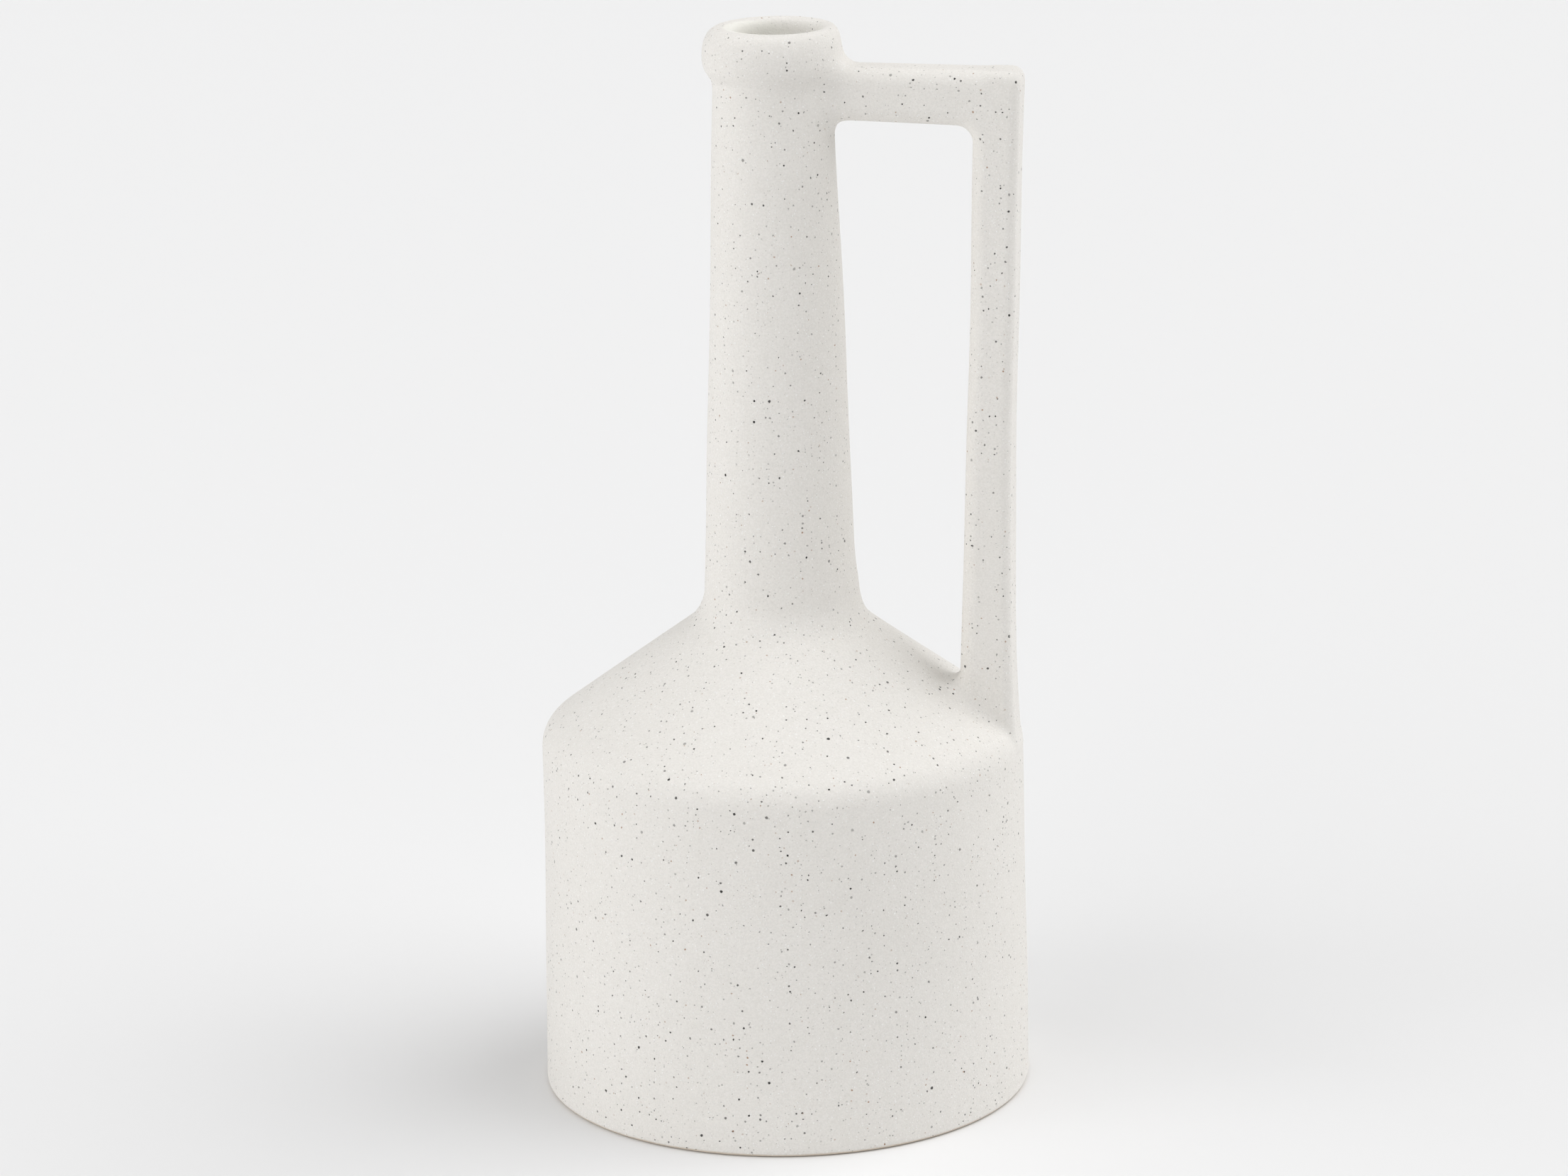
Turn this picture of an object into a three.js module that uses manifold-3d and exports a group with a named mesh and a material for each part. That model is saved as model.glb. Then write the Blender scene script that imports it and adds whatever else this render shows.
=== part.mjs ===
// Stoneware handled bottle vase. Units are millimetres, +Z is up, and the origin is the
// middle of the face it stands on. The handle points along +X.
//
// The vase is put together from sections of leather-hard clay: a base disc, a body wall,
// a shoulder, a neck, a rim collar and the two bars of an angular handle. Round sections
// sit on each other in rebates, and the bars are cut to the surfaces they are luted to.
// LUTE_GAP is the film of slip left between two sections.

import * as THREE from 'three';
import { mergeVertices } from 'three/addons/utils/BufferGeometryUtils.js';
import Module from 'manifold-3d';

// Heights of the outside, from the standing face up.
const HEIGHT = 300;
const BASE_EDGE_RADIUS = 3;
const SHOULDER_EDGE_Z = 103;
const NECK_FOOT_Z = 136.5;
const COLLAR_SEAM_Z = 283;
const COLLAR_BELLY_Z = 292;

// Outside radii.
const BASE_RADIUS = 68.5;
const SHOULDER_RADIUS = 67.2;
const NECK_FOOT_RADIUS = 21.2;
const NECK_TOP_RADIUS = 16.4;
const COLLAR_RADIUS = 19.1;
const SHOULDER_EDGE_ROUNDING = 9;
const NECK_FLARE_ROUNDING = 15;

// Walls and the hollow.
const BODY_WALL = 6.5;
const SHOULDER_WALL = 6;
const MOUTH_RADIUS = 11.5;
const BORE_TOP_RADIUS = 11.9;
const BORE_FOOT_RADIUS = 14.6;
const FLOOR_Z = 8;
const FOOT_RING_INNER_RADIUS = 57;
const FOOT_RECESS = 1.8;

// Joints between the round sections.
const LUTE_GAP = 0.3;
const BASE_SEAM_Z = 4;
const BODY_SEAM_Z = 88;
const NECK_SEAM_RADIUS = 27;
const REBATE_STEP = 3;

// Handle, drawn as a side outline in X and Z and given its depth along Y.
const HANDLE_DEPTH = 15;
const HANDLE_EDGE_ROUNDING = 3;
const ARM_TOP_Z = 290;
const ARM_TOP_DROP = 0.2;
const ARM_UNDER_NECK_Z = 275.2;
const ARM_UNDER_CORNER_Z = 274.3;
const ARM_ROOT_X = 6;
const ARM_ROOT_FILLET = 4.5;
const UPRIGHT_OUTER_TOP_X = 68.4;
const UPRIGHT_OUTER_WAIST_X = 65.6;
const UPRIGHT_WAIST_Z = 134;
const UPRIGHT_INNER_TOP_X = 55.2;
const UPRIGHT_INNER_FOOT_X = 50.5;
const UPRIGHT_FOOT_X = 66.9;
const UPRIGHT_FOOT_Z = 99;
const OUTER_CORNER_ROUNDING = 3.5;
const INNER_CORNER_ROUNDING = 4.5;

const BODY_SEGMENTS = 64;
const NECK_SEGMENTS = 48;
const CLAY_COLOUR = 0xe6e4de;
const BARE_CLAY_COLOUR = 0xd9d2c4;

const manifoldLibrary = await Module();
manifoldLibrary.setup();

function point(radius, z) {
  return new THREE.Vector2(radius, z);
}

// Points of a fillet of the given radius at a corner between two straight runs.
function roundedCorner(before, corner, after, radius, steps) {
  const toBefore = before.clone().sub(corner).normalize();
  const toAfter = after.clone().sub(corner).normalize();
  const halfAngle = Math.acos(toBefore.dot(toAfter)) / 2;
  const reach = radius / Math.tan(halfAngle);
  const middle = toBefore.clone().add(toAfter).normalize();
  const centre = corner.clone().addScaledVector(middle, radius / Math.sin(halfAngle));
  const start = corner.clone().addScaledVector(toBefore, reach).sub(centre);
  const end = corner.clone().addScaledVector(toAfter, reach).sub(centre);
  const turn = Math.atan2(start.cross(end), start.dot(end));
  const points = [];
  for (let i = 0; i <= steps; i += 1) {
    points.push(start.clone().rotateAround(point(0, 0), (turn * i) / steps).add(centre));
  }
  return points;
}

// The outside of the whole vase in one profile, from the foot to the top of the lip.
// grow moves it outwards, for cutting the handle clear of it.
function outerProfile(grow) {
  const base = point(BASE_RADIUS + grow, 0);
  const edge = point(SHOULDER_RADIUS + grow, SHOULDER_EDGE_Z + grow * 0.6);
  const flare = point(NECK_FOOT_RADIUS + grow, NECK_FOOT_Z + grow * 0.6);
  const neckTop = point(NECK_TOP_RADIUS + grow, COLLAR_SEAM_Z);
  return [
    ...roundedCorner(point(0, 0), base, edge, BASE_EDGE_RADIUS, 3),
    ...roundedCorner(base, edge, flare, SHOULDER_EDGE_ROUNDING, 6),
    ...roundedCorner(edge, flare, neckTop, NECK_FLARE_ROUNDING, 6),
    ...collarOutside(grow),
  ];
}

// The collar swells out of the neck in an S curve and rolls over into the lip.
function collarOutside(grow) {
  const swell = new THREE.CubicBezierCurve(
    point(NECK_TOP_RADIUS + grow, COLLAR_SEAM_Z),
    point(NECK_TOP_RADIUS + grow + 0.1, COLLAR_SEAM_Z + 4),
    point(COLLAR_RADIUS + grow, COLLAR_BELLY_Z - 5),
    point(COLLAR_RADIUS + grow, COLLAR_BELLY_Z),
  );
  const roll = new THREE.CubicBezierCurve(
    point(COLLAR_RADIUS + grow, COLLAR_BELLY_Z),
    point(COLLAR_RADIUS + grow, HEIGHT - 3),
    point(COLLAR_RADIUS + grow - 1.4, HEIGHT),
    point(COLLAR_RADIUS + grow - 4, HEIGHT),
  );
  return [...swell.getPoints(6), ...roll.getPoints(6).slice(1)];
}

// Where the outside profile crosses a height, between its lowest point and the lip.
function outsideRadiusAt(z) {
  const profile = outerProfile(0);
  for (let i = 1; i < profile.length; i += 1) {
    const low = profile[i - 1];
    const high = profile[i];
    if (z >= low.y && z <= high.y && high.y > low.y) {
      return low.x + ((high.x - low.x) * (z - low.y)) / (high.y - low.y);
    }
  }
  return profile[profile.length - 1].x;
}

// The height of the shoulder cone at a radius.
function coneHeightAt(radius) {
  const slope = (NECK_FOOT_Z - SHOULDER_EDGE_Z) / (SHOULDER_RADIUS - NECK_FOOT_RADIUS);
  return SHOULDER_EDGE_Z + slope * (SHOULDER_RADIUS - radius);
}

// LatheGeometry turns a profile about Y, so rotateX stands the result up on Z. A profile
// that doesn't start on the axis is a ring's section, and closes on its first point.
function revolved(profile, segments) {
  const section = profile[0].x > 0 ? [...profile, profile[0]] : profile;
  return new THREE.LatheGeometry(section, segments).rotateX(Math.PI / 2);
}

function solidOf(geometry) {
  const bare = geometry.clone();
  bare.deleteAttribute('normal');
  bare.deleteAttribute('uv');
  const merged = mergeVertices(bare, 1e-4);
  return new manifoldLibrary.Manifold(
    new manifoldLibrary.Mesh({
      numProp: 3,
      vertProperties: merged.attributes.position.array,
      triVerts: merged.index.array,
    }),
  );
}

function geometryOf(solid) {
  const mesh = solid.getMesh();
  const geometry = new THREE.BufferGeometry();
  geometry.setAttribute('position', new THREE.BufferAttribute(mesh.vertProperties, 3));
  geometry.setIndex(new THREE.BufferAttribute(mesh.triVerts, 1));
  geometry.computeVertexNormals();
  return geometry;
}

function clayMesh(name, geometry, colour = CLAY_COLOUR) {
  const material = new THREE.MeshStandardMaterial({ color: colour, roughness: 0.85, metalness: 0 });
  const mesh = new THREE.Mesh(geometry, material);
  mesh.name = name;
  return mesh;
}

// A thrown disc with a shallow recess underneath, and a plug that locates the wall.
function baseDisc() {
  const wallAbove = point(outsideRadiusAt(BODY_SEAM_Z), BODY_SEAM_Z);
  const plugRadius = outsideRadiusAt(FLOOR_Z) - BODY_WALL - LUTE_GAP;
  return [
    point(0, FOOT_RECESS),
    point(FOOT_RING_INNER_RADIUS - FOOT_RECESS, FOOT_RECESS),
    point(FOOT_RING_INNER_RADIUS, 0),
    ...roundedCorner(point(0, 0), point(BASE_RADIUS, 0), wallAbove, BASE_EDGE_RADIUS, 3),
    point(outsideRadiusAt(BASE_SEAM_Z), BASE_SEAM_Z),
    point(plugRadius, BASE_SEAM_Z),
    point(plugRadius, FLOOR_Z),
    point(0, FLOOR_Z),
  ];
}

// A nearly upright wall, whose top edge has a raised inner step for the shoulder.
function bodyWall() {
  const foot = BASE_SEAM_Z + LUTE_GAP;
  const footRadius = outsideRadiusAt(foot);
  const topRadius = outsideRadiusAt(BODY_SEAM_Z);
  return [
    point(footRadius - BODY_WALL, foot),
    point(footRadius, foot),
    point(topRadius, BODY_SEAM_Z),
    point(topRadius - REBATE_STEP, BODY_SEAM_Z),
    point(topRadius - REBATE_STEP, BODY_SEAM_Z + REBATE_STEP),
    point(topRadius - BODY_WALL, BODY_SEAM_Z + REBATE_STEP),
  ];
}

// The turned-in top of the body, with a seat for the neck at its middle.
function shoulder() {
  const foot = BODY_SEAM_Z + LUTE_GAP;
  const footRadius = outsideRadiusAt(foot);
  const stepZ = foot + REBATE_STEP;
  const stepRadius = footRadius - REBATE_STEP + LUTE_GAP;
  const corner = point(SHOULDER_RADIUS, SHOULDER_EDGE_Z);
  const seat = point(NECK_SEAM_RADIUS, coneHeightAt(NECK_SEAM_RADIUS));
  const innerCorner = point(SHOULDER_RADIUS - BODY_WALL, SHOULDER_EDGE_Z - SHOULDER_WALL * 0.72);
  const innerTop = point(NECK_SEAM_RADIUS - REBATE_STEP, seat.y - SHOULDER_WALL + 1.6);
  return [
    point(footRadius, foot),
    ...roundedCorner(point(footRadius, foot), corner, seat, SHOULDER_EDGE_ROUNDING, 6),
    seat,
    point(NECK_SEAM_RADIUS, seat.y - REBATE_STEP),
    point(innerTop.x, seat.y - REBATE_STEP),
    innerTop,
    ...roundedCorner(innerTop, innerCorner, point(innerCorner.x, stepZ), 5, 4),
    point(innerCorner.x, stepZ),
    point(stepRadius, stepZ),
    point(stepRadius, foot),
  ];
}

// A tapering tube that flares onto the shoulder; a spigot at its top holds the collar.
function neck() {
  const seatZ = coneHeightAt(NECK_SEAM_RADIUS) - REBATE_STEP + LUTE_GAP;
  const seatRadius = NECK_SEAM_RADIUS - LUTE_GAP;
  const edge = point(SHOULDER_RADIUS, SHOULDER_EDGE_Z);
  const flare = point(NECK_FOOT_RADIUS, NECK_FOOT_Z);
  const top = point(NECK_TOP_RADIUS, COLLAR_SEAM_Z);
  const spigotRadius = (NECK_TOP_RADIUS + BORE_TOP_RADIUS) / 2;
  return [
    point(BORE_FOOT_RADIUS + 1.2, seatZ),
    point(seatRadius, seatZ),
    point(seatRadius, coneHeightAt(seatRadius)),
    ...roundedCorner(edge, flare, top, NECK_FLARE_ROUNDING, 6).filter((p) => p.x < seatRadius),
    top,
    point(spigotRadius, COLLAR_SEAM_Z),
    point(spigotRadius, COLLAR_SEAM_Z + REBATE_STEP),
    point(BORE_TOP_RADIUS, COLLAR_SEAM_Z + REBATE_STEP),
    point(BORE_FOOT_RADIUS, NECK_FOOT_Z + 6),
  ];
}

// The band round the mouth: a thick rolled lip with a rounded inner edge.
function rimCollar() {
  const foot = COLLAR_SEAM_Z + LUTE_GAP;
  const spigotRadius = (NECK_TOP_RADIUS + BORE_TOP_RADIUS) / 2 + LUTE_GAP;
  const outside = collarOutside(0).filter((p) => p.y > foot);
  const lip = new THREE.QuadraticBezierCurve(
    point(COLLAR_RADIUS - 4, HEIGHT),
    point(MOUTH_RADIUS, HEIGHT),
    point(MOUTH_RADIUS, HEIGHT - 4),
  );
  return [
    point(spigotRadius, foot),
    point(NECK_TOP_RADIUS, foot),
    ...outside,
    ...lip.getPoints(4).slice(1),
    point(BORE_TOP_RADIUS, foot + REBATE_STEP),
    point(spigotRadius, foot + REBATE_STEP),
  ];
}

// Side outline of the whole handle: an arm off the neck and an upright that leans in
// towards its foot, with a slightly hollow outer edge.
function handleOutline() {
  const armTopEndZ = ARM_TOP_Z - ARM_TOP_DROP;
  const neckX = outsideRadiusAt(ARM_UNDER_NECK_Z);
  const shape = new THREE.Shape();
  shape.moveTo(ARM_ROOT_X, ARM_TOP_Z);
  shape.lineTo(ARM_ROOT_X, ARM_UNDER_NECK_Z - ARM_ROOT_FILLET);
  shape.lineTo(neckX, ARM_UNDER_NECK_Z - ARM_ROOT_FILLET);
  shape.quadraticCurveTo(
    neckX + 0.5, ARM_UNDER_NECK_Z,
    neckX + ARM_ROOT_FILLET + 1, ARM_UNDER_NECK_Z,
  );
  shape.lineTo(UPRIGHT_INNER_TOP_X - INNER_CORNER_ROUNDING, ARM_UNDER_CORNER_Z);
  shape.quadraticCurveTo(
    UPRIGHT_INNER_TOP_X, ARM_UNDER_CORNER_Z,
    UPRIGHT_INNER_TOP_X, ARM_UNDER_CORNER_Z - INNER_CORNER_ROUNDING,
  );
  shape.lineTo(UPRIGHT_INNER_FOOT_X, UPRIGHT_FOOT_Z);
  shape.lineTo(UPRIGHT_FOOT_X, UPRIGHT_FOOT_Z);
  shape.quadraticCurveTo(
    UPRIGHT_OUTER_WAIST_X + 0.3, UPRIGHT_WAIST_Z - 20,
    UPRIGHT_OUTER_WAIST_X, UPRIGHT_WAIST_Z,
  );
  shape.bezierCurveTo(
    UPRIGHT_OUTER_WAIST_X - 0.9, UPRIGHT_WAIST_Z + 51,
    UPRIGHT_OUTER_TOP_X - 1.8, armTopEndZ - 54,
    UPRIGHT_OUTER_TOP_X, armTopEndZ - OUTER_CORNER_ROUNDING,
  );
  shape.absarc(
    UPRIGHT_OUTER_TOP_X - OUTER_CORNER_ROUNDING, armTopEndZ - OUTER_CORNER_ROUNDING,
    OUTER_CORNER_ROUNDING, 0, Math.PI / 2, false,
  );
  return shape;
}

// The outline is drawn to the outside of the handle, so the bevel cuts back into it.
function handleBlank() {
  const flatDepth = HANDLE_DEPTH - 2 * HANDLE_EDGE_ROUNDING;
  const blank = new THREE.ExtrudeGeometry(handleOutline(), {
    depth: flatDepth,
    curveSegments: 5,
    bevelEnabled: true,
    bevelSegments: 3,
    bevelThickness: HANDLE_EDGE_ROUNDING,
    bevelSize: HANDLE_EDGE_ROUNDING,
    bevelOffset: -HANDLE_EDGE_ROUNDING,
  });
  blank.rotateX(Math.PI / 2);
  blank.translate(0, flatDepth / 2, 0);
  return solidOf(blank);
}

// A closed solid just larger than the vase, which the handle's ends are cut to.
function vaseEnvelope() {
  const profile = [point(0, 0), ...outerProfile(LUTE_GAP), point(0, HEIGHT)];
  return solidOf(revolved(profile, BODY_SEGMENTS));
}

// The half of the handle on one side of the mitre through its corner.
function mitreHalf(side) {
  const reach = 400;
  const cornerX = (UPRIGHT_INNER_TOP_X + UPRIGHT_OUTER_TOP_X) / 2;
  const cornerZ = (ARM_UNDER_CORNER_Z + ARM_TOP_Z) / 2;
  const block = new THREE.BoxGeometry(reach, reach, reach);
  block.translate(side * (reach / 2 + LUTE_GAP / 2), 0, 0);
  block.rotateY(Math.PI / 4);
  block.translate(cornerX, 0, cornerZ);
  return solidOf(block);
}

function handleBars() {
  const trimmed = handleBlank().subtract(vaseEnvelope());
  return {
    arm: geometryOf(trimmed.intersect(mitreHalf(-1))),
    upright: geometryOf(trimmed.intersect(mitreHalf(1))),
  };
}

const vase = new THREE.Group();
const handle = handleBars();
vase.add(
  clayMesh('base_disc', revolved(baseDisc(), BODY_SEGMENTS), BARE_CLAY_COLOUR),
  clayMesh('body_wall', revolved(bodyWall(), BODY_SEGMENTS)),
  clayMesh('shoulder', revolved(shoulder(), BODY_SEGMENTS)),
  clayMesh('neck', revolved(neck(), NECK_SEGMENTS)),
  clayMesh('rim_collar', revolved(rimCollar(), NECK_SEGMENTS)),
  clayMesh('handle_arm', handle.arm),
  clayMesh('handle_upright', handle.upright),
);

export default vase;
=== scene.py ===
"""Looks of the stoneware handled bottle vase.

Shapes are worked out in millimetres in the CAD frame, with +X towards the handle, and are
turned into metres when a mesh is made. Every section of clay is one closed piece that
stands for the CAD node of the same name.
"""
import math

import bpy
import numpy as np
from mathutils import Matrix, Vector


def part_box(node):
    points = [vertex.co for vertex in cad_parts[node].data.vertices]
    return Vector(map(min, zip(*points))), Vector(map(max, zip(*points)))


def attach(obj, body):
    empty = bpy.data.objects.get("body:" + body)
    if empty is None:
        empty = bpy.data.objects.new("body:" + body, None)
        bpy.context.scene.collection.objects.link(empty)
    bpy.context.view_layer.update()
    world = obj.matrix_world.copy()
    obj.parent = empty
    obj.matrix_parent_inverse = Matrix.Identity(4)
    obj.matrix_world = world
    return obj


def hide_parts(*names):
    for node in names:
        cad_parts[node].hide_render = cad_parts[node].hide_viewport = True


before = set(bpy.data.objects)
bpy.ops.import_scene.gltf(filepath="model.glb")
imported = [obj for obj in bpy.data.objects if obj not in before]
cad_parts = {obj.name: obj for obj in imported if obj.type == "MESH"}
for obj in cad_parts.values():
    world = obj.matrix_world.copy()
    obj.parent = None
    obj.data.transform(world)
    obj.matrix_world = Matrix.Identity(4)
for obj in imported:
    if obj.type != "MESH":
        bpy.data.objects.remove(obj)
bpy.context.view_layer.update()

MM = 0.001


def box_mm(node):
    """Lowest and highest corner of a CAD node, in millimetres."""
    low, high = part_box(node)
    return np.array(low) / MM, np.array(high) / MM


base_high = box_mm("base_disc")[1]
wall_low = box_mm("body_wall")[0]
shoulder_low = box_mm("shoulder")[0]
neck_low, neck_high = box_mm("neck")
collar_low, collar_high = box_mm("rim_collar")
arm_low, arm_high = box_mm("handle_arm")
upright_high = box_mm("handle_upright")[1]

# Sizes that the CAD boxes give.
HEIGHT = collar_high[2]
BASE_RADIUS = base_high[0]
BASE_SEAM_Z = wall_low[2]
BODY_SEAM_Z = shoulder_low[2]
FLOOR_Z = base_high[2]
NECK_SEAM_RADIUS = neck_high[0]
NECK_BOTTOM_Z = neck_low[2]
COLLAR_SEAM_Z = collar_low[2]
COLLAR_RADIUS = collar_high[0]
ARM_TOP_Z = arm_high[2]
HANDLE_DEPTH = arm_high[1] - arm_low[1]
UPRIGHT_OUTER_TOP_X = upright_high[0]

# The rest of the outline, as the vase is drawn.
BASE_EDGE_RADIUS = 1.6
SHOULDER_EDGE_Z = 103
SHOULDER_RADIUS = 67.2
SHOULDER_EDGE_ROUNDING = 9
NECK_FOOT_Z = 136.5
NECK_FOOT_RADIUS = 21.2
NECK_TOP_RADIUS = 16.4
NECK_FLARE_ROUNDING = 13
COLLAR_BELLY_Z = 292
LIP_WIDTH = 4
LIP_FOOT_Z = 294.8
MOUTH_RADIUS = 11.5
BORE_TOP_RADIUS = 11.9
BORE_FOOT_RADIUS = 14.6
BODY_WALL = 6.5
SHOULDER_INNER_DROP = 4.3
REBATE_STEP = 3
LUTE_GAP = 0.3
FOOT_RING_INNER_RADIUS = 57
FOOT_RECESS = 1.8

ARM_UNDER_NECK_Z = 275.2
ARM_UNDER_CORNER_Z = 274.3
UPRIGHT_OUTER_WAIST_X = 65.6
UPRIGHT_WAIST_Z = 134
UPRIGHT_INNER_TOP_X = 55.2
UPRIGHT_INNER_FOOT_X = 50.5
UPRIGHT_FOOT_X = 66.9
UPRIGHT_FOOT_Z = 99
OUTER_CORNER_ROUNDING = 3.5
INNER_CORNER_ROUNDING = 4.5
EDGE_ROUNDING = 4.6
OUTER_EDGE_ROUNDING = 3
ARM_FILLET = 5.5
FOOT_FILLET = 4
FOOT_INNER_FILLET = 8
FOOT_OUTER_FILLET = 1.2
SKIRT_LIFT = 0.015
TUCK_DEPTH = 0.6

# How uneven the hand-made body is.
SLOW_WAVE = 0.20
SHORT_WAVE = 0.10
LIFT_WAVE = 0.16
FULLER_FLARE = 1.1
MOUTH_SHIFT_X = 1.4
MOUTH_SHIFT_Y = 1.5

SEGMENTS_ROUND = 256
SECTION_POINTS = 128


# ---------------------------------------------------------------- outlines

def arc_corner(before, corner, after, radius, steps=12):
    """Points of a fillet of that radius at a corner between two straight runs."""
    before, corner, after = (np.array(p, float) for p in (before, corner, after))
    to_before = (before - corner) / np.linalg.norm(before - corner)
    to_after = (after - corner) / np.linalg.norm(after - corner)
    half = math.acos(np.clip(to_before @ to_after, -1, 1)) / 2
    reach = radius / math.tan(half)
    middle = (to_before + to_after) / np.linalg.norm(to_before + to_after)
    centre = corner + middle * radius / math.sin(half)
    start = corner + to_before * reach - centre
    end = corner + to_after * reach - centre
    turn = math.atan2(start[0] * end[1] - start[1] * end[0], start @ end)
    points = []
    for i in range(steps + 1):
        a = turn * i / steps
        c, s = math.cos(a), math.sin(a)
        spoke = (c * start[0] - s * start[1], s * start[0] + c * start[1])
        points.append((centre[0] + spoke[0], centre[1] + spoke[1]))
    return points


def bezier(controls, steps=16):
    """Points of a Bezier curve through its first and last control point."""
    points = []
    for i in range(steps + 1):
        row = [np.array(c, float) for c in controls]
        t = i / steps
        while len(row) > 1:
            row = [a * (1 - t) + b * t for a, b in zip(row[:-1], row[1:])]
        points.append(tuple(row[0]))
    return points


def even_steps(points, longest):
    """The same line with no step longer than that, keeping every point."""
    line = [tuple(points[0])]
    for a, b in zip(points[:-1], points[1:]):
        a, b = np.array(a, float), np.array(b, float)
        n = max(1, math.ceil(np.linalg.norm(b - a) / longest))
        line += [tuple(a + (b - a) * i / n) for i in range(1, n + 1)]
    return line


def collar_outside():
    """The collar swells out of the neck in an S curve and rolls over to the lip."""
    straight_top = (NECK_TOP_RADIUS, COLLAR_SEAM_Z + 0.4)
    swell = bezier([
        straight_top,
        (NECK_TOP_RADIUS + 0.1, COLLAR_SEAM_Z + 4),
        (COLLAR_RADIUS, COLLAR_BELLY_Z - 5),
        (COLLAR_RADIUS, COLLAR_BELLY_Z),
    ], 26)
    roll = bezier([
        (COLLAR_RADIUS, COLLAR_BELLY_Z),
        (COLLAR_RADIUS, HEIGHT - 3),
        (COLLAR_RADIUS - 1.4, HEIGHT),
        (COLLAR_RADIUS - LIP_WIDTH, HEIGHT),
    ])
    return swell + roll[1:]


base_corner = (BASE_RADIUS, 0)
shoulder_corner = (SHOULDER_RADIUS, SHOULDER_EDGE_Z)
neck_corner = (NECK_FOOT_RADIUS, NECK_FOOT_Z)
neck_top = (NECK_TOP_RADIUS, COLLAR_SEAM_Z)
OUTSIDE = (
    arc_corner((0, 0), base_corner, shoulder_corner, BASE_EDGE_RADIUS)
    + arc_corner(base_corner, shoulder_corner, neck_corner, SHOULDER_EDGE_ROUNDING)
    + arc_corner(shoulder_corner, neck_corner, neck_top, NECK_FLARE_ROUNDING)
    + [neck_top]
    + collar_outside()
)


def outside_between(low_z, high_z):
    """The stretch of the outside profile between two heights."""
    heights = [p[1] for p in OUTSIDE]
    ends = [(float(np.interp(z, heights, [p[0] for p in OUTSIDE])), z) for z in (low_z, high_z)]
    inner = [p for p in OUTSIDE if low_z + 1e-6 < p[1] < high_z - 1e-6]
    return [ends[0]] + inner + [ends[1]]


def cone_height(radius):
    """Height of the shoulder's straight slope at a radius."""
    slope = (NECK_FOOT_Z - SHOULDER_EDGE_Z) / (SHOULDER_RADIUS - NECK_FOOT_RADIUS)
    return SHOULDER_EDGE_Z + slope * (SHOULDER_RADIUS - radius)


# ---------------------------------------------------------------- meshes

def handmade(points):
    """Moves points by slow waves a fraction of a millimetre high, as hands and the kiln
    leave them. The flare is fuller on the handle's side, and the mouth is a little off
    centre. Every piece uses the same field, so the sections still meet."""
    x, y, z = points.T
    lift = np.clip(z / 12, 0, 1)
    radius = np.hypot(x, y)
    at_flare = np.exp(-((z - 141) / 8) ** 2 - ((radius - 21) / 8) ** 2) * np.clip(x / 20, 0, 1)
    at_mouth = np.clip((z - 284) / 12, 0, 1) * np.clip((19 - radius) / 6, 0, 1)
    wave_x = SLOW_WAVE * np.sin(z / 29 + y / 21 + 0.4) + SHORT_WAVE * np.sin(z / 11 - y / 15)
    wave_y = SLOW_WAVE * np.sin(z / 26 - x / 18 + 1.9) + SHORT_WAVE * np.sin(z / 13 + x / 14 + 2.2)
    wave_z = LIFT_WAVE * lift * np.sin(x / 24 + y / 31 + 0.8)
    move = np.stack([
        wave_x + FULLER_FLARE * at_flare + MOUTH_SHIFT_X * at_mouth,
        wave_y + MOUTH_SHIFT_Y * at_mouth,
        wave_z,
    ], axis=1)
    return points + move * np.clip(0.35 + z / 60, 0, 1)[:, None]


def mesh_piece(name, points, faces, normals=None, sharp_angle=38):
    """A smooth-shaded object from points in millimetres."""
    mesh = bpy.data.meshes.new(name)
    mesh.from_pydata((handmade(np.asarray(points, float)) * MM).tolist(), [], faces)
    mesh.validate()
    mesh.shade_smooth()
    if normals is None:
        mesh.set_sharp_from_angle(angle=math.radians(sharp_angle))
    else:
        mesh.normals_split_custom_set_from_vertices([tuple(n) for n in normals])
    piece = bpy.data.objects.new(name, mesh)
    bpy.context.scene.collection.objects.link(piece)
    return piece


def revolve(name, section):
    """A closed section in radius and height, turned about the axis. Points on the axis
    become one vertex each."""
    points, rings = [], []
    turn = np.arange(SEGMENTS_ROUND) * 2 * math.pi / SEGMENTS_ROUND
    for radius, z in section:
        if radius < 1e-6:
            rings.append([len(points)] * SEGMENTS_ROUND)
            points.append((0, 0, z))
        else:
            rings.append(list(range(len(points), len(points) + SEGMENTS_ROUND)))
            points += [(radius * math.cos(a), radius * math.sin(a), z) for a in turn]
    faces = []
    for low, high in zip(rings, rings[1:] + rings[:1]):
        for i in range(SEGMENTS_ROUND):
            j = (i + 1) % SEGMENTS_ROUND
            corners = [low[i], low[j], high[j], high[i]]
            face = list(dict.fromkeys(corners))
            if len(face) > 2:
                faces.append(face)
    return mesh_piece(name, points, faces)


def closed_section(*stretches):
    """One section from several stretches, without repeated points."""
    section = []
    for stretch in stretches:
        for p in stretch:
            if not section or np.hypot(p[0] - section[-1][0], p[1] - section[-1][1]) > 1e-4:
                section.append(tuple(p))
    return section


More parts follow.
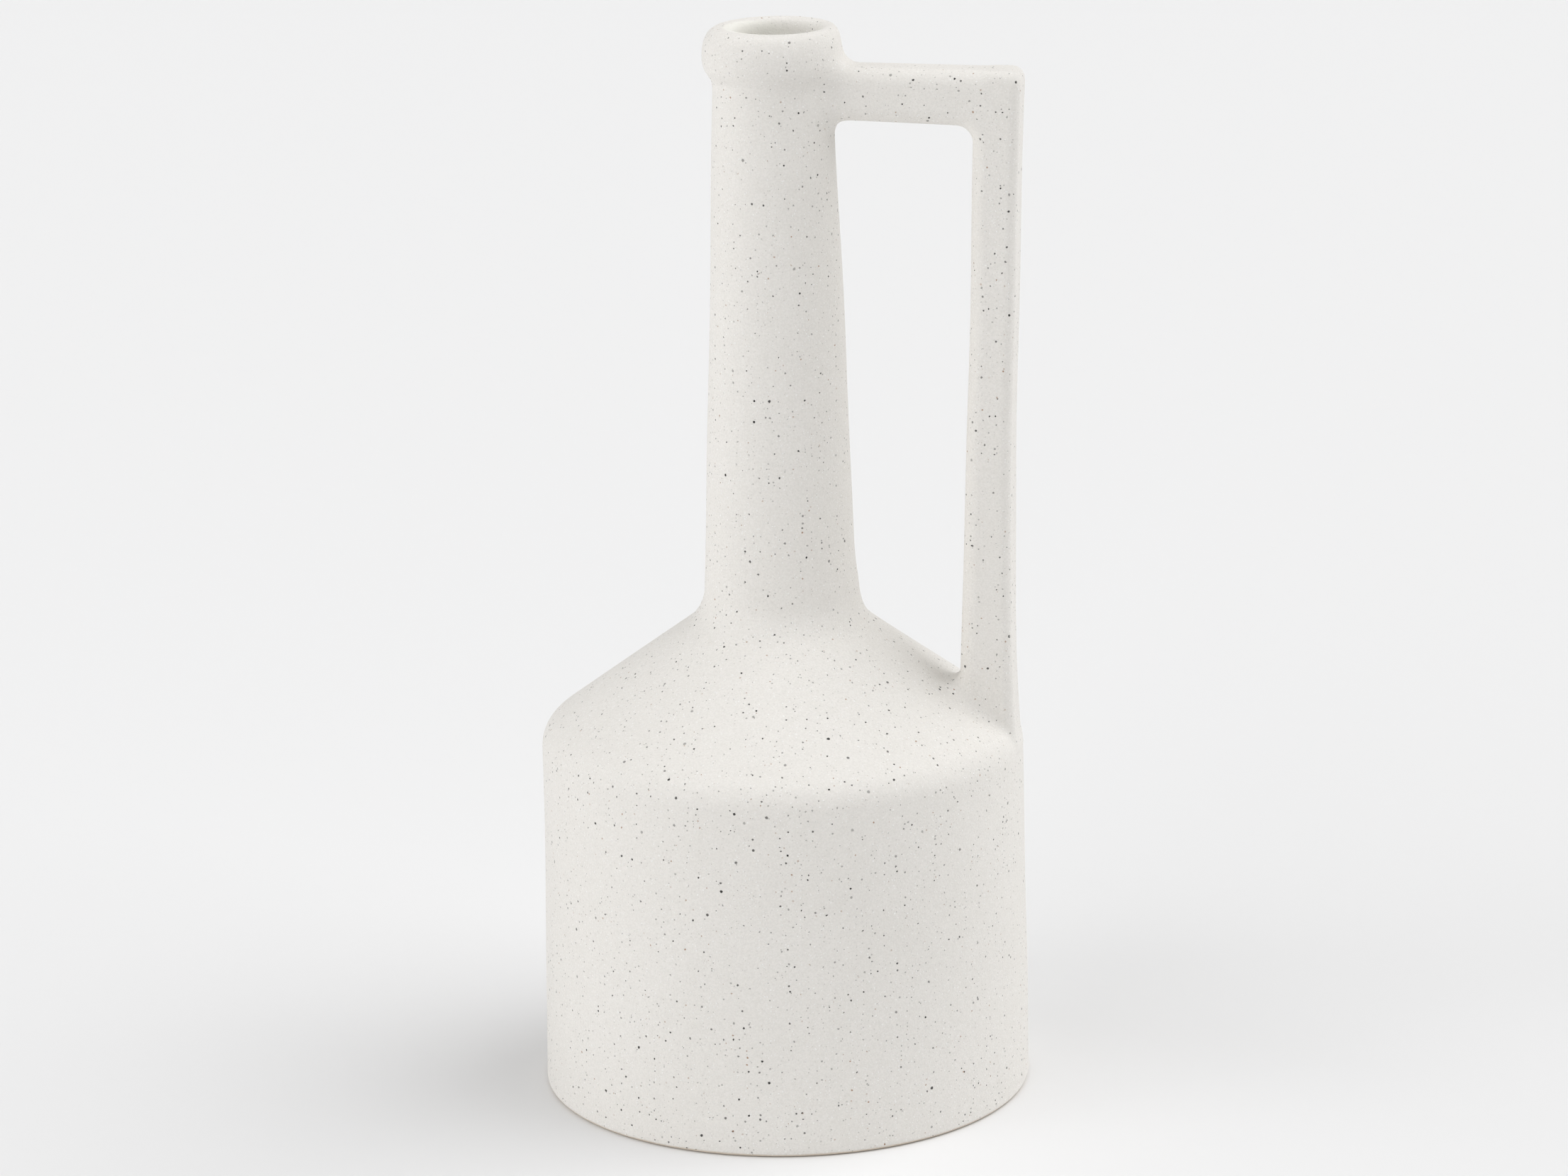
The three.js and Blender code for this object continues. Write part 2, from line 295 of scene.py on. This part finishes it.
def base_disc():
    seam_radius = outside_between(BASE_SEAM_Z, BODY_SEAM_Z)[0][0]
    plug = seam_radius - BODY_WALL
    under = [(0, FOOT_RECESS), (20, FOOT_RECESS), (40, FOOT_RECESS)]
    ring = bezier([
        (FOOT_RING_INNER_RADIUS - 3, FOOT_RECESS),
        (FOOT_RING_INNER_RADIUS - 1, FOOT_RECESS),
        (FOOT_RING_INNER_RADIUS - 1, 0),
        (FOOT_RING_INNER_RADIUS + 1, 0),
    ], 8)
    outside = even_steps(outside_between(0, BASE_SEAM_Z), 1)
    top = [(plug, BASE_SEAM_Z), (plug, FLOOR_Z), (30, FLOOR_Z), (0, FLOOR_Z)]
    return revolve("base_disc_clay", closed_section(under, ring, outside, top))


def body_wall():
    outside = even_steps(outside_between(BASE_SEAM_Z, BODY_SEAM_Z), 2)
    foot, top = outside[0][0], outside[-1][0]
    inside = even_steps([
        (top - REBATE_STEP, BODY_SEAM_Z),
        (top - REBATE_STEP, BODY_SEAM_Z + REBATE_STEP),
        (top - BODY_WALL, BODY_SEAM_Z + REBATE_STEP),
        (foot - BODY_WALL, BASE_SEAM_Z),
    ], 6)
    return revolve("body_wall_clay", closed_section(outside, inside))


def shoulder():
    seam_z = cone_height(NECK_SEAM_RADIUS)
    outside = even_steps(outside_between(BODY_SEAM_Z, seam_z), 1.5)
    foot = outside[0][0]
    step_z = BODY_SEAM_Z + REBATE_STEP + LUTE_GAP
    wall = SHOULDER_RADIUS - BODY_WALL
    rebate = foot - REBATE_STEP + LUTE_GAP
    inner_corner = (wall, SHOULDER_EDGE_Z - SHOULDER_INNER_DROP)
    inner_top = (NECK_SEAM_RADIUS - REBATE_STEP, NECK_BOTTOM_Z - 2)
    inside = even_steps(
        [
            (NECK_SEAM_RADIUS, NECK_BOTTOM_Z),
            (inner_top[0], NECK_BOTTOM_Z),
            inner_top,
        ]
        + arc_corner(inner_top, inner_corner, (wall, step_z), 5)
        + [(wall, step_z), (rebate, step_z), (rebate, BODY_SEAM_Z)],
        6,
    )
    return revolve("shoulder_clay", closed_section(outside, inside))


def neck():
    seam_z = cone_height(NECK_SEAM_RADIUS)
    outside = even_steps(outside_between(seam_z, COLLAR_SEAM_Z), 1.5)
    spigot = (NECK_TOP_RADIUS + BORE_TOP_RADIUS) / 2
    inside = even_steps([
        (spigot, COLLAR_SEAM_Z),
        (spigot, COLLAR_SEAM_Z + REBATE_STEP),
        (BORE_TOP_RADIUS, COLLAR_SEAM_Z + REBATE_STEP),
        (BORE_FOOT_RADIUS, NECK_FOOT_Z + 6),
        (BORE_FOOT_RADIUS + 1.2, NECK_BOTTOM_Z),
        (NECK_SEAM_RADIUS, NECK_BOTTOM_Z),
    ], 4)
    return revolve("neck_clay", closed_section(outside, inside))


def rim_collar():
    outside = even_steps([neck_top] + collar_outside(), 0.4)
    lip = bezier([
        (COLLAR_RADIUS - LIP_WIDTH, HEIGHT),
        (MOUTH_RADIUS + 0.5, HEIGHT),
        (MOUTH_RADIUS, HEIGHT - 1.4),
        (MOUTH_RADIUS, LIP_FOOT_Z),
    ], 18)
    step_z = COLLAR_SEAM_Z + REBATE_STEP + LUTE_GAP
    spigot = (NECK_TOP_RADIUS + BORE_TOP_RADIUS) / 2 + LUTE_GAP
    inside = even_steps([
        (MOUTH_RADIUS, LIP_FOOT_Z),
        (BORE_TOP_RADIUS, step_z),
        (spigot, step_z),
        (spigot, COLLAR_SEAM_Z),
    ], 2)
    return revolve("rim_collar_clay", closed_section(outside, lip, inside))


# ---------------------------------------------------------------- handle

def handle_outline():
    """Side outline of the handle in X and Z, running into the neck and the shoulder."""
    in_neck_x = 5
    end_z = ARM_TOP_Z - 0.2
    under_start = (0, ARM_UNDER_NECK_Z + 0.3)
    inner_foot = (UPRIGHT_INNER_FOOT_X, UPRIGHT_FOOT_Z)
    inner_top = (UPRIGHT_INNER_TOP_X, ARM_UNDER_CORNER_Z)
    outer_top = (UPRIGHT_OUTER_TOP_X, end_z)
    foot_flare = bezier([
        (UPRIGHT_FOOT_X, UPRIGHT_FOOT_Z),
        (UPRIGHT_OUTER_WAIST_X + 0.3, UPRIGHT_WAIST_Z - 20),
        (UPRIGHT_OUTER_WAIST_X, UPRIGHT_WAIST_Z),
    ])
    outer_edge = bezier([
        (UPRIGHT_OUTER_WAIST_X, UPRIGHT_WAIST_Z),
        (UPRIGHT_OUTER_WAIST_X - 0.9, UPRIGHT_WAIST_Z + 51),
        (UPRIGHT_OUTER_TOP_X - 1.8, end_z - 54),
        (UPRIGHT_OUTER_TOP_X, end_z - OUTER_CORNER_ROUNDING),
    ], 30)
    outer_corner = arc_corner((UPRIGHT_OUTER_TOP_X, 0), outer_top, (0, end_z), OUTER_CORNER_ROUNDING)
    inner_corner = arc_corner(under_start, inner_top, inner_foot, INNER_CORNER_ROUNDING)
    return closed_section(
        [(in_neck_x, ARM_TOP_Z), (in_neck_x, ARM_UNDER_NECK_Z), (22, ARM_UNDER_NECK_Z)],
        inner_corner,
        [inner_foot],
        foot_flare,
        outer_edge[1:],
        outer_corner[1:],
    )


def flat_field(outline, points):
    """Distance of 2D points from a closed outline that runs anticlockwise, negative
    inside it, and the direction in which that distance grows."""
    ax, ay = np.asarray(outline, float).T
    ex, ey = np.roll(ax, -1) - ax, np.roll(ay, -1) - ay
    length = np.hypot(ex, ey)
    dx, dy = points[:, :1] - ax, points[:, 1:] - ay
    along = np.clip((dx * ex + dy * ey) / length ** 2, 0, 1)
    gap_x, gap_y = dx - along * ex, dy - along * ey
    squares = gap_x ** 2 + gap_y ** 2
    nearest = squares.argmin(axis=1)
    rows = np.arange(len(points))
    gap = np.sqrt(squares[rows, nearest])
    crosses = (dy < 0) != (np.roll(ay, -1) > points[:, 1:])
    rise = np.where(ey == 0, 1e-12, ey)
    inside = (crosses & (dx < dy * ex / rise)).sum(axis=1) % 2 == 1
    sign = np.where(inside, -1.0, 1.0)
    away = np.stack([gap_x[rows, nearest], gap_y[rows, nearest]], axis=1)
    away *= (sign / np.maximum(gap, 1e-12))[:, None]
    facing = np.stack([ey[nearest], -ex[nearest]], axis=1) / length[nearest, None]
    return sign * gap, np.where((gap > 1e-5)[:, None], away, facing)


VASE_OUTLINE = closed_section([(0, 0)], OUTSIDE, [(0, HEIGHT)])
HANDLE_OUTLINE = handle_outline()
ARM_MIDDLE_Z = (ARM_TOP_Z + ARM_UNDER_CORNER_Z) / 2
UPRIGHT_MIDDLE_X = (UPRIGHT_OUTER_WAIST_X + (UPRIGHT_INNER_TOP_X + UPRIGHT_INNER_FOOT_X) / 2) / 2


def vase_field(p):
    """Distance from the turned body, and the direction in which it grows."""
    radius = np.hypot(p[:, 0], p[:, 1])
    gap, flat = flat_field(VASE_OUTLINE, np.stack([radius, p[:, 2]], axis=1))
    spoke = p[:, :2] / np.maximum(radius, 1e-9)[:, None]
    return gap, np.column_stack([spoke * flat[:, :1], flat[:, 1]])


def edge_rounding(p):
    """How round the handle's long edges are: crisper down the outside of the upright."""
    past_middle = p[:, 0] - UPRIGHT_MIDDLE_X
    return np.interp(past_middle, (-1.5, 1.5), (EDGE_ROUNDING, OUTER_EDGE_ROUNDING))


def handle_field(p):
    """The same for the handle, a slab of its side outline with all its edges rounded."""
    flat, direction = flat_field(HANDLE_OUTLINE, p[:, [0, 2]])
    rounding = edge_rounding(p)
    flat = flat + rounding
    side = np.abs(p[:, 1]) - (HANDLE_DEPTH / 2 - rounding)
    out_flat, out_side = np.maximum(flat, 0), np.maximum(side, 0)
    outside = np.hypot(out_flat, out_side)
    reach = np.maximum(outside, 1e-9)
    inner = outside < 1e-9
    share_flat = np.where(inner, flat >= side, out_flat / reach)
    share_side = np.where(inner, flat < side, out_side / reach) * np.sign(p[:, 1])
    gap = np.minimum(np.maximum(flat, side), 0) + outside - rounding
    return gap, np.column_stack([direction[:, 0] * share_flat, share_side, direction[:, 1] * share_flat])


def fillet_size(p):
    """The fillet is soft at the arm's root, softest at the inner edge of the foot and
    tight at the foot's outer edge."""
    x, z = p[:, 0], p[:, 2]
    edges = (UPRIGHT_INNER_FOOT_X - 1, UPRIGHT_INNER_FOOT_X + 6, SHOULDER_RADIUS - 7, SHOULDER_RADIUS)
    foot = np.interp(x, edges, (FOOT_INNER_FILLET, FOOT_FILLET, FOOT_FILLET, FOOT_OUTER_FILLET))
    high = np.clip((z - 150) / 80, 0, 1)
    return foot + (ARM_FILLET - foot) * high


def blended_field(p):
    """Handle and vase as one body, with a fillet where they meet."""
    vase, vase_way = vase_field(p)
    handle, handle_way = handle_field(p)
    size = fillet_size(p)
    overlap = np.maximum(size - np.abs(vase - handle), 0)
    gap = np.minimum(vase, handle) - overlap ** 2 / (4 * size)
    far_share = overlap / (2 * size)
    vase_share = np.where(vase < handle, 1 - far_share, far_share)[:, None]
    way = vase_way * vase_share + handle_way * (1 - vase_share)
    return gap, way / np.maximum(np.linalg.norm(way, axis=1, keepdims=True), 1e-9)


def onto_surface(p, rounds):
    for _ in range(rounds):
        gap, way = blended_field(p)
        p = p - way * gap[:, None]
    return p


def section_ring(centre, across):
    """Where rays from a point of the handle's centre line, in the plane of Y and the
    given direction, leave the handle."""
    turn = np.arange(SECTION_POINTS) * 2 * math.pi / SECTION_POINTS
    across = np.array([across[0], 0, across[1]])
    rays = np.cos(turn)[:, None] * across + np.sin(turn)[:, None] * np.array([0, 1, 0])
    origin = np.array([centre[0], 0, centre[1]])
    low, high = np.zeros(SECTION_POINTS), np.full(SECTION_POINTS, 20.0)
    for _ in range(22):
        middle = (low + high) / 2
        inside = handle_field(origin + rays * middle[:, None])[0] < 0
        low, high = np.where(inside, middle, low), np.where(inside, high, middle)
    return origin + rays * low[:, None]


def skirt(ring, towards, steps=26, stride=0.3, longest=100):
    """Follows the filleted surface from a ring of the handle out onto the vase, and
    returns the rings on the way, ending where the fillet has run out. Each point stays
    in the plane of the way towards the vase and its own outward direction."""
    towards = np.array(towards, float)
    outward = handle_field(ring)[1]
    outward = outward - (outward @ towards)[:, None] * towards
    outward /= np.linalg.norm(outward, axis=1, keepdims=True)

    def slopes(p):
        gap, way = blended_field(p)
        return gap, (way * outward).sum(axis=1), way @ towards

    p = ring.copy()
    tracks = [p.copy()]
    for _ in range(longest):
        running = handle_field(p)[0] < fillet_size(p) * 0.985
        _, out, on = slopes(p)
        size = np.maximum(np.hypot(out, on), 1e-6)
        step = p + (outward * (-on / size)[:, None] + towards * (out / size)[:, None]) * stride
        for _ in range(3):
            gap, out, on = slopes(step)
            push = gap / np.maximum(out ** 2 + on ** 2, 0.05)
            step = step - outward * (push * out)[:, None] - towards * (push * on)[:, None]
        p = np.where(running[:, None], step, p)
        tracks.append(p.copy())
    tracks = np.array(tracks)
    travelled = np.concatenate([
        np.zeros((1, len(ring))),
        np.cumsum(np.linalg.norm(np.diff(tracks, axis=0), axis=2), axis=0),
    ])
    rings = []
    for k in range(1, steps + 1):
        wanted = travelled[-1] * k / steps
        ring_k = np.array([
            [np.interp(wanted[i], travelled[:, i], tracks[:, i, axis]) for axis in range(3)]
            for i in range(len(ring))
        ])
        ring_k = onto_surface(ring_k, 2)
        rings.append(ring_k + vase_field(ring_k)[1] * SKIRT_LIFT * min(1, k / 8))
    return rings


def sweep(name, rings):
    """Joins rings into a closed skin, with a fan of faces at each end."""
    points = np.concatenate(rings)
    faces = []
    n = SECTION_POINTS
    for k in range(len(rings) - 1):
        for i in range(n):
            j = (i + 1) % n
            faces.append([(k + 1) * n + i, (k + 1) * n + j, k * n + j, k * n + i])
    normals = blended_field(points)[1]
    for first, step in ((0, 1), ((len(rings) - 1) * n, -1)):
        centre = len(points)
        points = np.concatenate([points, points[first:first + n].mean(0, keepdims=True)])
        normals = np.concatenate([normals, [[0, 0, 1]]])
        for i in range(n):
            j = (i + 1) % n
            faces.append([first + i, first + j, centre][::step])
    return mesh_piece(name, points, faces, normals)


def tuck(ring):
    """The last ring, carried on into the clay under the surface."""
    return ring - vase_field(ring)[1] * TUCK_DEPTH


def corner_fan():
    """Planes that turn about the inner corner, from across the arm to across the
    upright. Each is a point of the centre line and the outward direction."""
    pivot = np.array([UPRIGHT_INNER_TOP_X, ARM_UNDER_CORNER_Z]) - INNER_CORNER_ROUNDING
    upright_middle = (UPRIGHT_OUTER_TOP_X + UPRIGHT_INNER_TOP_X) / 2
    fan = []
    for angle in np.radians(np.linspace(90, 0, 33)):
        direction = np.array([math.cos(angle), math.sin(angle)])
        reach_x = (upright_middle - pivot[0]) / max(direction[0], 1e-6)
        reach_z = (ARM_MIDDLE_Z - pivot[1]) / max(direction[1], 1e-6)
        fan.append((pivot + direction * min(reach_x, reach_z), direction))
    return fan


def handle_bars():
    """Rings along the handle, cut in two at the mitre through its corner."""
    fan = corner_fan()
    arm_start = COLLAR_RADIUS + ARM_FILLET + 0.3
    arm_xs = np.linspace(arm_start, fan[0][0][0], 14)[:-1]
    arm_rings = [section_ring((x, fan[0][0][1]), (0, 1)) for x in arm_xs]
    fan_rings = [section_ring(centre, direction) for centre, direction in fan]
    half = len(fan_rings) // 2
    upright_end_z = cone_height(UPRIGHT_INNER_FOOT_X) + FOOT_FILLET + 4
    outer_side = np.array(sorted((z, x) for x, z in HANDLE_OUTLINE if x > UPRIGHT_MIDDLE_X)).T
    upright_rings = []
    for z in np.linspace(fan[-1][0][1], upright_end_z, 70)[1:]:
        share = (z - UPRIGHT_FOOT_Z) / (ARM_UNDER_CORNER_Z - UPRIGHT_FOOT_Z)
        inner = UPRIGHT_INNER_FOOT_X + (UPRIGHT_INNER_TOP_X - UPRIGHT_INNER_FOOT_X) * share
        outer = np.interp(z, *outer_side)
        upright_rings.append(section_ring(((inner + outer) / 2, z), (1, 0)))
    arm_skirt = skirt(arm_rings[0], (-1, 0, 0))
    foot_skirt = skirt(upright_rings[-1], (0, 0, -1))
    arm = [tuck(arm_skirt[-1])] + arm_skirt[::-1] + arm_rings + fan_rings[:half + 1]
    upright = fan_rings[half:] + upright_rings + foot_skirt + [tuck(foot_skirt[-1])]
    return (
        sweep("handle_arm_clay", arm),
        sweep("handle_upright_clay", upright),
    )


# ---------------------------------------------------------------- materials

class Nodes:
    """Short calls for adding nodes to a material."""

    def __init__(self, name):
        self.material = bpy.data.materials.new(name)
        self.material.use_nodes = True
        self.tree = self.material.node_tree
        self.shader = self.tree.nodes["Principled BSDF"]
        self.place = self.add("ShaderNodeTexCoord").outputs["Object"]

    def add(self, kind, links=None, **settings):
        node = self.tree.nodes.new(kind)
        for key, value in settings.items():
            setattr(node, key, value)
        for key, value in (links or {}).items():
            self.feed(node.inputs[key], value)
        return node

    def feed(self, socket, value):
        if isinstance(value, bpy.types.NodeSocket):
            self.tree.links.new(value, socket)
        else:
            socket.default_value = value

    def math(self, operation, a, b, c=None):
        node = self.add("ShaderNodeMath", {0: a, 1: b}, operation=operation)
        if c is not None:
            self.feed(node.inputs[2], c)
        return node.outputs[0]

    def vector(self, operation, a, b):
        node = self.add("ShaderNodeVectorMath", {0: a, 1: b}, operation=operation)
        return node.outputs[0]

    def span(self, value, low, high, to_low=0.0, to_high=1.0):
        node = self.add("ShaderNodeMapRange", {
            "Value": value, "From Min": low, "From Max": high, "To Min": to_low, "To Max": to_high,
        }, interpolation_type="SMOOTHSTEP")
        return node.outputs["Result"]

    def blend(self, share, a, b):
        node = self.add("ShaderNodeMix", {0: share, 6: a, 7: b}, data_type="RGBA")
        return node.outputs[2]

    def noise(self, millimetres, detail, output="Fac"):
        node = self.add("ShaderNodeTexNoise", {
            "Vector": self.place, "Scale": 1 / (millimetres * MM), "Detail": detail,
        })
        return node.outputs[output]

    def grains(self, cell, size, share, place, seed):
        """Round grains in a random share of cells of that width in millimetres: how far
        inside a grain a point is, 0 to 1, and the grain's own random number."""
        shifted = self.vector("ADD", place, (seed, seed * 0.7, seed * 1.3))
        cells = self.add("ShaderNodeTexVoronoi", {"Vector": shifted, "Scale": 1 / (cell * MM)})
        pick = self.add("ShaderNodeSeparateColor", {"Color": cells.outputs["Color"]})
        radius = self.math("MULTIPLY_ADD", pick.outputs["Green"], size * 0.45 / cell, size * 0.22 / cell)
        edge = self.math("SUBTRACT", 1.0, self.math("DIVIDE", cells.outputs["Distance"], radius))
        inside = self.span(edge, 0.0, 0.4)
        chosen = self.math("LESS_THAN", pick.outputs["Red"], share)
        return self.math("MULTIPLY", inside, chosen), pick.outputs["Blue"]


# How far the edges of grains wander, in millimetres.
RAGGED_EDGE = 0.34

# Speck layers of the clay: width of a cell and of a grain in millimetres, share of cells
# with a grain, strength, colour.
SPECKS = (
    (1.00, 0.38, 0.75, 0.30, (0.33, 0.31, 0.28, 1)),
    (1.40, 0.48, 0.48, 0.62, (0.20, 0.19, 0.175, 1)),
    (1.75, 0.56, 0.62, 1.00, (0.030, 0.028, 0.026, 1)),
    (3.20, 0.80, 0.60, 1.00, (0.030, 0.028, 0.026, 1)),
    (2.10, 0.52, 0.34, 0.85, (0.36, 0.20, 0.11, 1)),
)


def ragged_place(n):
    """The place of a point, pushed about a little so that the grains have ragged edges."""
    push = n.vector("SUBTRACT", n.noise(0.5, 1.0, "Color"), (0.5, 0.5, 0.5))
    scaled = n.add("ShaderNodeVectorMath", {0: push, "Scale": RAGGED_EDGE * MM}, operation="SCALE")
    return n.vector("ADD", n.place, scaled.outputs[0])


def clay_colour(n):
    """Warm white with faint clouds, a finer mottle and sand."""
    cloud = n.span(n.noise(38, 3.0), 0.35, 0.68)
    colour = n.blend(cloud, (0.838, 0.815, 0.778, 1), (0.850, 0.827, 0.792, 1))
    mottle = n.span(n.noise(3.2, 3.0), 0.3, 0.7)
    colour = n.blend(n.math("MULTIPLY", mottle, 0.25), colour, (0.785, 0.760, 0.714, 1))
    sand = n.span(n.noise(0.55, 2.0), 0.3, 0.72)
    return n.blend(n.math("MULTIPLY", sand, 0.60), colour, (0.745, 0.724, 0.686, 1))


def add_specks(n, colour, place):
    """The colour with the specks on it, and how deep a point is in a speck's pit."""
    pits = None
    for i, (cell, size, share, strength, tint) in enumerate(SPECKS):
        mask, chance = n.grains(cell, size, share, place, 0.0237 * (i + 2))
        mask = n.math("MULTIPLY", mask, n.span(chance, 0.0, 1.0, 0.45 * strength, strength))
        colour = n.blend(mask, colour, tint)
        pits = mask if pits is None else n.math("MAXIMUM", pits, mask)
    return colour, pits


def add_painted_hollow_light(n, colour, painted_light_within):
    """Painted light in the hollow: a paler colour within a radius, so that the bore looks lit inside."""
    flat = n.vector("MULTIPLY", n.place, (1.0, 1.0, 0.0))
    radius = n.add("ShaderNodeVectorMath", {0: flat}, operation="LENGTH").outputs["Value"]
    fade = 0.6
    painted_light_share = n.span(radius, (painted_light_within - fade) * MM, (painted_light_within + fade) * MM, 0.7, 0.0)
    # Painted light: the paler colour that makes the hollow look lit.
    return n.blend(painted_light_share, colour, (0.92, 0.91, 0.85, 1))


def add_bare_foot(n, colour, bare_below):
    """Bare clay up to a slightly wandering line, where the glaze is wiped off."""
    height = n.add("ShaderNodeSeparateXYZ", {"Vector": n.place}).outputs["Z"]
    wander = n.math("MULTIPLY_ADD", n.noise(9, 2.0), 0.5 * MM, -0.25 * MM)
    height = n.math("ADD", height, wander)
    fade = 0.25
    bare = n.span(height, (bare_below - fade) * MM, (bare_below + fade) * MM, 1.0, 0.0)
    clay = n.blend(n.noise(0.8, 3.0), (0.64, 0.55, 0.45, 1), (0.76, 0.69, 0.60, 1))
    return n.blend(bare, colour, clay)


def sandy_skin(n, grit, pits):
    """Bump of the skin. The heights are in millimetres."""
    grain = n.math("MULTIPLY", n.noise(0.42, 3.0), 0.085)
    lumps = n.math("MULTIPLY", n.noise(2.4, 2.0), 0.10)
    drift = n.math("MULTIPLY", n.noise(14, 1.0), 0.35)
    raised = n.math("MULTIPLY", grit, 0.06)
    dips = n.math("MULTIPLY", pits, -0.05)
    height = grain
    for layer in (lumps, drift, raised, dips):
        height = n.math("ADD", height, layer)
    bump = n.add("ShaderNodeBump", {"Height": height, "Strength": 1.0, "Distance": MM})
    return bump.outputs[0]


def stoneware(name, bare_below=None, painted_light_within=None):
    """Matte white stoneware with iron specks and pale grit, and a sandy skin. It is bare
    clay below one height, and paler within one radius as painted light in the hollow, where these are
    given."""
    n = Nodes(name)
    place = ragged_place(n)
    grit, _ = n.grains(0.85, 0.46, 0.75, place, 0.31)
    colour = n.blend(n.math("MULTIPLY", grit, 0.85), clay_colour(n), (0.95, 0.94, 0.92, 1))
    colour, pits = add_specks(n, colour, place)
    # Painted light: a paler colour inside the hollow, where a radius is given.
    if painted_light_within is not None:
        colour = add_painted_hollow_light(n, colour, painted_light_within)
    if bare_below is not None:
        colour = add_bare_foot(n, colour, bare_below)
    n.feed(n.shader.inputs["Normal"], sandy_skin(n, grit, pits))
    n.feed(n.shader.inputs["Base Color"], colour)
    n.feed(n.shader.inputs["Roughness"], n.span(n.noise(0.9, 2.0), 0.2, 0.8, 0.72, 0.92))
    n.shader.inputs["Specular IOR Level"].default_value = 0.32
    return n.material


def plain_floor():
    material = bpy.data.materials.new("floor_paper")
    material.use_nodes = True
    shader = material.node_tree.nodes["Principled BSDF"]
    shader.inputs["Base Color"].default_value = (0.845, 0.845, 0.847, 1)
    shader.inputs["Roughness"].default_value = 0.9
    shader.inputs["Specular IOR Level"].default_value = 0.1
    return material


# ---------------------------------------------------------------- stage

CAMERA_DISTANCE = 1.5175
CAMERA_ELEVATION = math.radians(15.67)
CAMERA_TURN = math.radians(10)
CAMERA_ROLL = math.radians(-0.88)
CAMERA_TARGET = (0.00096, 0.0, 0.14245)
CAMERA_LENS = 125.35


def photo_camera():
    """Looks a little down on the vase, with the handle turned slightly to the camera."""
    back = Vector((0, -math.cos(CAMERA_ELEVATION), math.sin(CAMERA_ELEVATION)))
    right = Vector((1, 0, 0))
    up = back.cross(right)
    c, s = math.cos(CAMERA_ROLL), math.sin(CAMERA_ROLL)
    right, up = right * c + up * s, up * c - right * s
    place = Vector(CAMERA_TARGET) + back * CAMERA_DISTANCE
    matrix = Matrix((
        (right.x, up.x, back.x, place.x),
        (right.y, up.y, back.y, place.y),
        (right.z, up.z, back.z, place.z),
        (0, 0, 0, 1),
    ))
    camera = bpy.data.cameras.new("photo_camera")
    camera.lens = CAMERA_LENS
    camera.sensor_width = 36
    camera.clip_end = 50
    holder = bpy.data.objects.new("photo_camera", camera)
    holder.matrix_world = Matrix.Rotation(CAMERA_TURN, 4, "Z") @ matrix
    bpy.context.scene.collection.objects.link(holder)
    bpy.context.scene.camera = holder


def soft_sun(name, towards_light, strength, spread):
    """A wide soft source, far enough away to light the whole floor evenly."""
    light = bpy.data.lights.new(name, "SUN")
    light.energy = strength
    light.angle = math.radians(spread)
    holder = bpy.data.objects.new(name, light)
    holder.rotation_euler = Vector(towards_light).to_track_quat("Z", "Y").to_euler()
    bpy.context.scene.collection.objects.link(holder)


# Each soft light: the way towards it, its strength, and how wide it is in degrees.
LIGHTS = (
    ("overhead", (0.0, 0.15, 1.0), 0.36, 60),
    ("overhead_right", (0.7, 0.1, 1.0), 1.42, 60),
    ("overhead_left", (-0.7, 0.1, 1.0), 0.15, 60),
    ("overhead_front", (0.0, -0.7, 1.0), 0.20, 60),
    ("left_side", (-1.0, -0.25, 0.4), 0.81, 60),
    ("left_front", (-0.8, -1.0, 0.5), 1.03, 60),
    ("right_side", (1.0, -0.1, 0.4), 0.36, 50),
    ("right_back", (1.0, 0.8, 0.5), 0.50, 50),
)
WORLD_STRENGTH = 0.16
FLOOR_REACH = 8


def studio():
    world = bpy.data.worlds.new("studio")
    world.use_nodes = True
    background = world.node_tree.nodes["Background"]
    background.inputs["Color"].default_value = (1.0, 1.0, 1.0, 1)
    background.inputs["Strength"].default_value = WORLD_STRENGTH
    bpy.context.scene.world = world
    for light in LIGHTS:
        soft_sun(*light)
    corners = [(x * FLOOR_REACH, y * FLOOR_REACH, 0) for x, y in ((-1, -1), (1, -1), (1, 1), (-1, 1))]
    mesh = bpy.data.meshes.new("floor")
    mesh.from_pydata(corners, [], [(0, 1, 2, 3)])
    floor = bpy.data.objects.new("floor", mesh)
    mesh.materials.append(plain_floor())
    bpy.context.scene.collection.objects.link(floor)


def dress(piece, node, material):
    piece.data.materials.append(material)
    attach(piece, "root")
    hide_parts(node)


photo_camera()
studio()
speckled = stoneware("speckled_stoneware")
footed = stoneware("wiped_foot_stoneware", bare_below=0.9)
# These two materials carry painted light: they are paler inside the bore and the mouth.
neck_with_painted_light = stoneware("stoneware_painted_hollow_light", painted_light_within=15.5)
collar_with_painted_light = stoneware("rim_stoneware_painted_hollow_light", painted_light_within=13.3)
arm_piece, upright_piece = handle_bars()
dress(base_disc(), "base_disc", footed)
dress(body_wall(), "body_wall", speckled)
dress(shoulder(), "shoulder", speckled)
dress(neck(), "neck", neck_with_painted_light)
dress(rim_collar(), "rim_collar", collar_with_painted_light)
dress(arm_piece, "handle_arm", speckled)
dress(upright_piece, "handle_upright", speckled)

bpy.context.scene.view_settings.view_transform = "Standard"
bpy.context.scene.view_settings.look = "None"
